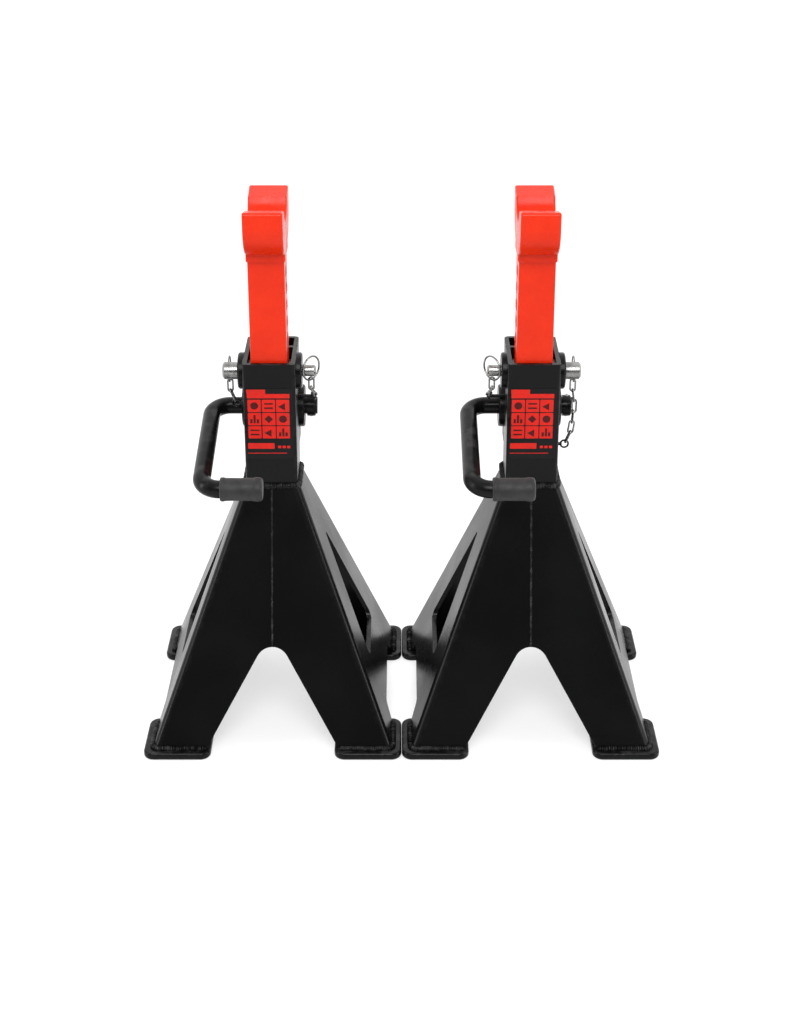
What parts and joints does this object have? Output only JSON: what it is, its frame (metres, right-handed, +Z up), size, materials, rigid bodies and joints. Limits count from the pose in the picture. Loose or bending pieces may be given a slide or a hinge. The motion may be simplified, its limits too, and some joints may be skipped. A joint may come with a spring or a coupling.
{
  "type": "axle jack stand pair",
  "caption": "Ratcheting axle stands with folded plate bases, square columns, toothed bars carrying horned saddles, looped release handles and chained locking pins.",
  "frame": {"origin": "on the floor, midway between the two stands and midway between their front and back feet", "axes": "+X to the right seen from the handle side, +Y away from the handle side, +Z up"},
  "size_m": [0.6004, 0.3, 0.632],
  "materials": {
    "black_enamel": "gloss",
    "red_enamel": "gloss",
    "grip_rubber": "satin",
    "label_film": "satin",
    "zinc_plate": "satin",
    "bare_steel": "satin"
  },
  "bodies": {
    "left_base": {"left_shell_left": "black_enamel", "left_shell_right": "black_enamel", "left_seam_welds": "black_enamel", "left_foot_pads": "black_enamel", "left_foot_welds": "black_enamel", "left_collar_weld": "black_enamel", "left_column": "black_enamel", "left_guide_strips": "black_enamel", "left_pawl_housing": "black_enamel", "left_pivot_bosses": "black_enamel", "left_pin_bosses": "black_enamel", "left_label_plate": "label_film", "left_tail_ring": "zinc_plate", "left_tail_chain": "zinc_plate", "left_head_chain": "zinc_plate", "left_chain_eyes": "black_enamel"},
    "left_bar": {"left_ratchet_bar": "red_enamel", "left_foot_pin": "zinc_plate"},
    "left_release": {"left_handle": "black_enamel", "left_grip": "grip_rubber", "left_pawl": "bare_steel", "left_pawl_pin": "zinc_plate", "left_pivot_collar": "black_enamel", "left_collar_pin": "zinc_plate"},
    "left_pin": {"left_locking_pin": "zinc_plate", "left_head_ring": "zinc_plate"},
    "right_base": {"right_shell_left": "black_enamel", "right_shell_right": "black_enamel", "right_seam_welds": "black_enamel", "right_foot_pads": "black_enamel", "right_foot_welds": "black_enamel", "right_collar_weld": "black_enamel", "right_column": "black_enamel", "right_guide_strips": "black_enamel", "right_pawl_housing": "black_enamel", "right_pivot_bosses": "black_enamel", "right_pin_bosses": "black_enamel", "right_label_plate": "label_film", "right_tail_ring": "zinc_plate", "right_tail_chain": "zinc_plate", "right_head_chain": "zinc_plate", "right_chain_eyes": "black_enamel"},
    "right_bar": {"right_ratchet_bar": "red_enamel", "right_foot_pin": "zinc_plate"},
    "right_release": {"right_handle": "black_enamel", "right_grip": "grip_rubber", "right_pawl": "bare_steel", "right_pawl_pin": "zinc_plate", "right_pivot_collar": "black_enamel", "right_collar_pin": "zinc_plate"},
    "right_pin": {"right_locking_pin": "zinc_plate", "right_head_ring": "zinc_plate"}
  },
  "joints": [
    {"name": "stand_spacing", "type": "slide", "parent": "left_base", "child": "right_base", "axis": [1, 0, 0], "range_m": [0, 0.3]},
    {"name": "left_lift", "type": "slide", "parent": "left_base", "child": "left_bar", "axis": [0, 0, 1], "range_m": [-0.12, 0.12]},
    {"name": "left_release_turn", "type": "hinge", "parent": "left_base", "child": "left_release", "pos_m": [-0.1502, 0.042, 0.367], "axis": [-1, 0, 0], "range_deg": [0, 25]},
    {"name": "left_pin_pull", "type": "slide", "parent": "left_base", "child": "left_pin", "axis": [-1, 0, 0], "range_m": [0, 0.09]},
    {"name": "right_lift", "type": "slide", "parent": "right_base", "child": "right_bar", "axis": [0, 0, 1], "range_m": [-0.12, 0.12]},
    {"name": "right_release_turn", "type": "hinge", "parent": "right_base", "child": "right_release", "pos_m": [0.1502, 0.042, 0.367], "axis": [-1, 0, 0], "range_deg": [0, 25]},
    {"name": "right_pin_pull", "type": "slide", "parent": "right_base", "child": "right_pin", "axis": [1, 0, 0], "range_m": [0, 0.09]}
  ]
}
